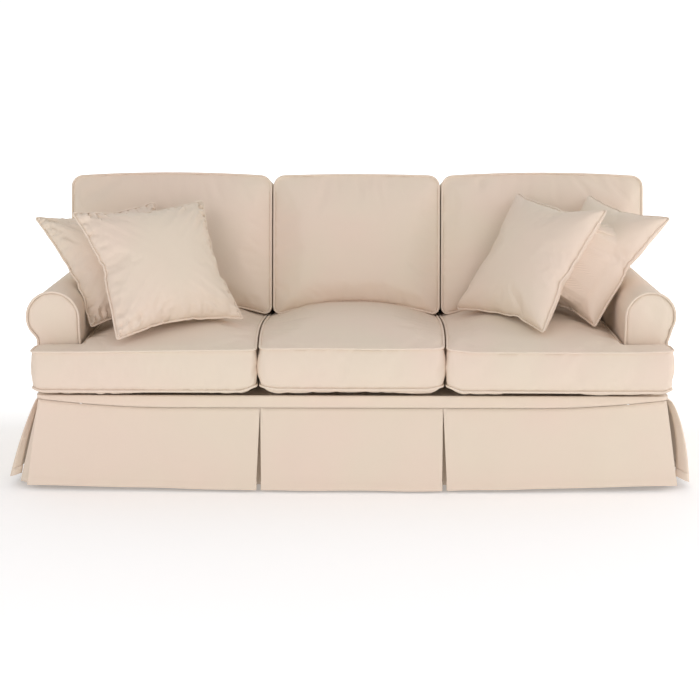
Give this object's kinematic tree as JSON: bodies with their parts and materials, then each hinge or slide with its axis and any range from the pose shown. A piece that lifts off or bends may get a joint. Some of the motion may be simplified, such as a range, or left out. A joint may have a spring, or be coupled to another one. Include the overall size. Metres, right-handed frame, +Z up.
{
  "type": "sofa slipcover",
  "caption": "Fitted skirted slipcover set for a long rolled-arm sofa, with crowned box seat and back cushions, welted seams, kick pleats and loose throw pillows.",
  "frame": {"origin": "on the floor under the middle of the cover, at the skirt's lowest hem", "axes": "+X along the sofa to its right as seen from the front, +Y towards its back, +Z up"},
  "size_m": [2.307, 0.98, 1.0107],
  "materials": {
    "cover_cloth": "matte cotton twill in a light warm tan",
    "skirt_cloth": "matte cotton twill in a light warm tan",
    "seat_cloth": "matte cotton twill in a light warm tan",
    "back_cloth": "matte cotton twill in a light warm tan",
    "pillow_cloth": "matte cotton twill in a light warm tan",
    "welt_cloth": "self-covered cord in the same twill"
  },
  "bodies": {
    "root": {"deck": "cover_cloth", "front_border": "cover_cloth", "inside_back": "cover_cloth", "back_boxing": "cover_cloth", "outside_back": "cover_cloth", "arm_inside_left": "cover_cloth", "arm_outside_left": "cover_cloth", "arm_front_left": "cover_cloth", "arm_welt_left": "welt_cloth", "arm_inside_right": "cover_cloth", "arm_outside_right": "cover_cloth", "arm_front_right": "cover_cloth", "arm_welt_right": "welt_cloth", "skirt_front_left": "skirt_cloth", "skirt_front_middle": "skirt_cloth", "skirt_front_right": "skirt_cloth", "skirt_side_left": "skirt_cloth", "skirt_side_right": "skirt_cloth", "skirt_back": "skirt_cloth", "underlay_front_left": "skirt_cloth", "underlay_front_right": "skirt_cloth", "underlay_corner_front_left": "skirt_cloth", "underlay_corner_front_right": "skirt_cloth", "underlay_corner_rear_left": "skirt_cloth", "underlay_corner_rear_right": "skirt_cloth", "seat_cushion_left": "seat_cloth", "seat_welt_low_left": "welt_cloth", "seat_welt_high_left": "welt_cloth", "back_cushion_left": "back_cloth", "back_welt_rear_left": "welt_cloth", "back_welt_front_left": "welt_cloth", "seat_cushion_middle": "seat_cloth", "seat_welt_low_middle": "welt_cloth", "seat_welt_high_middle": "welt_cloth", "back_cushion_middle": "back_cloth", "back_welt_rear_middle": "welt_cloth", "back_welt_front_middle": "welt_cloth", "seat_cushion_right": "seat_cloth", "seat_welt_low_right": "welt_cloth", "seat_welt_high_right": "welt_cloth", "back_cushion_right": "back_cloth", "back_welt_rear_right": "welt_cloth", "back_welt_front_right": "welt_cloth", "pillow_left_front": "pillow_cloth", "pillow_welt_left_front": "welt_cloth", "pillow_left_rear": "pillow_cloth", "pillow_welt_left_rear": "welt_cloth", "pillow_right_front": "pillow_cloth", "pillow_welt_right_front": "welt_cloth", "pillow_right_rear": "pillow_cloth", "pillow_welt_right_rear": "welt_cloth"}
  },
  "joints": []
}
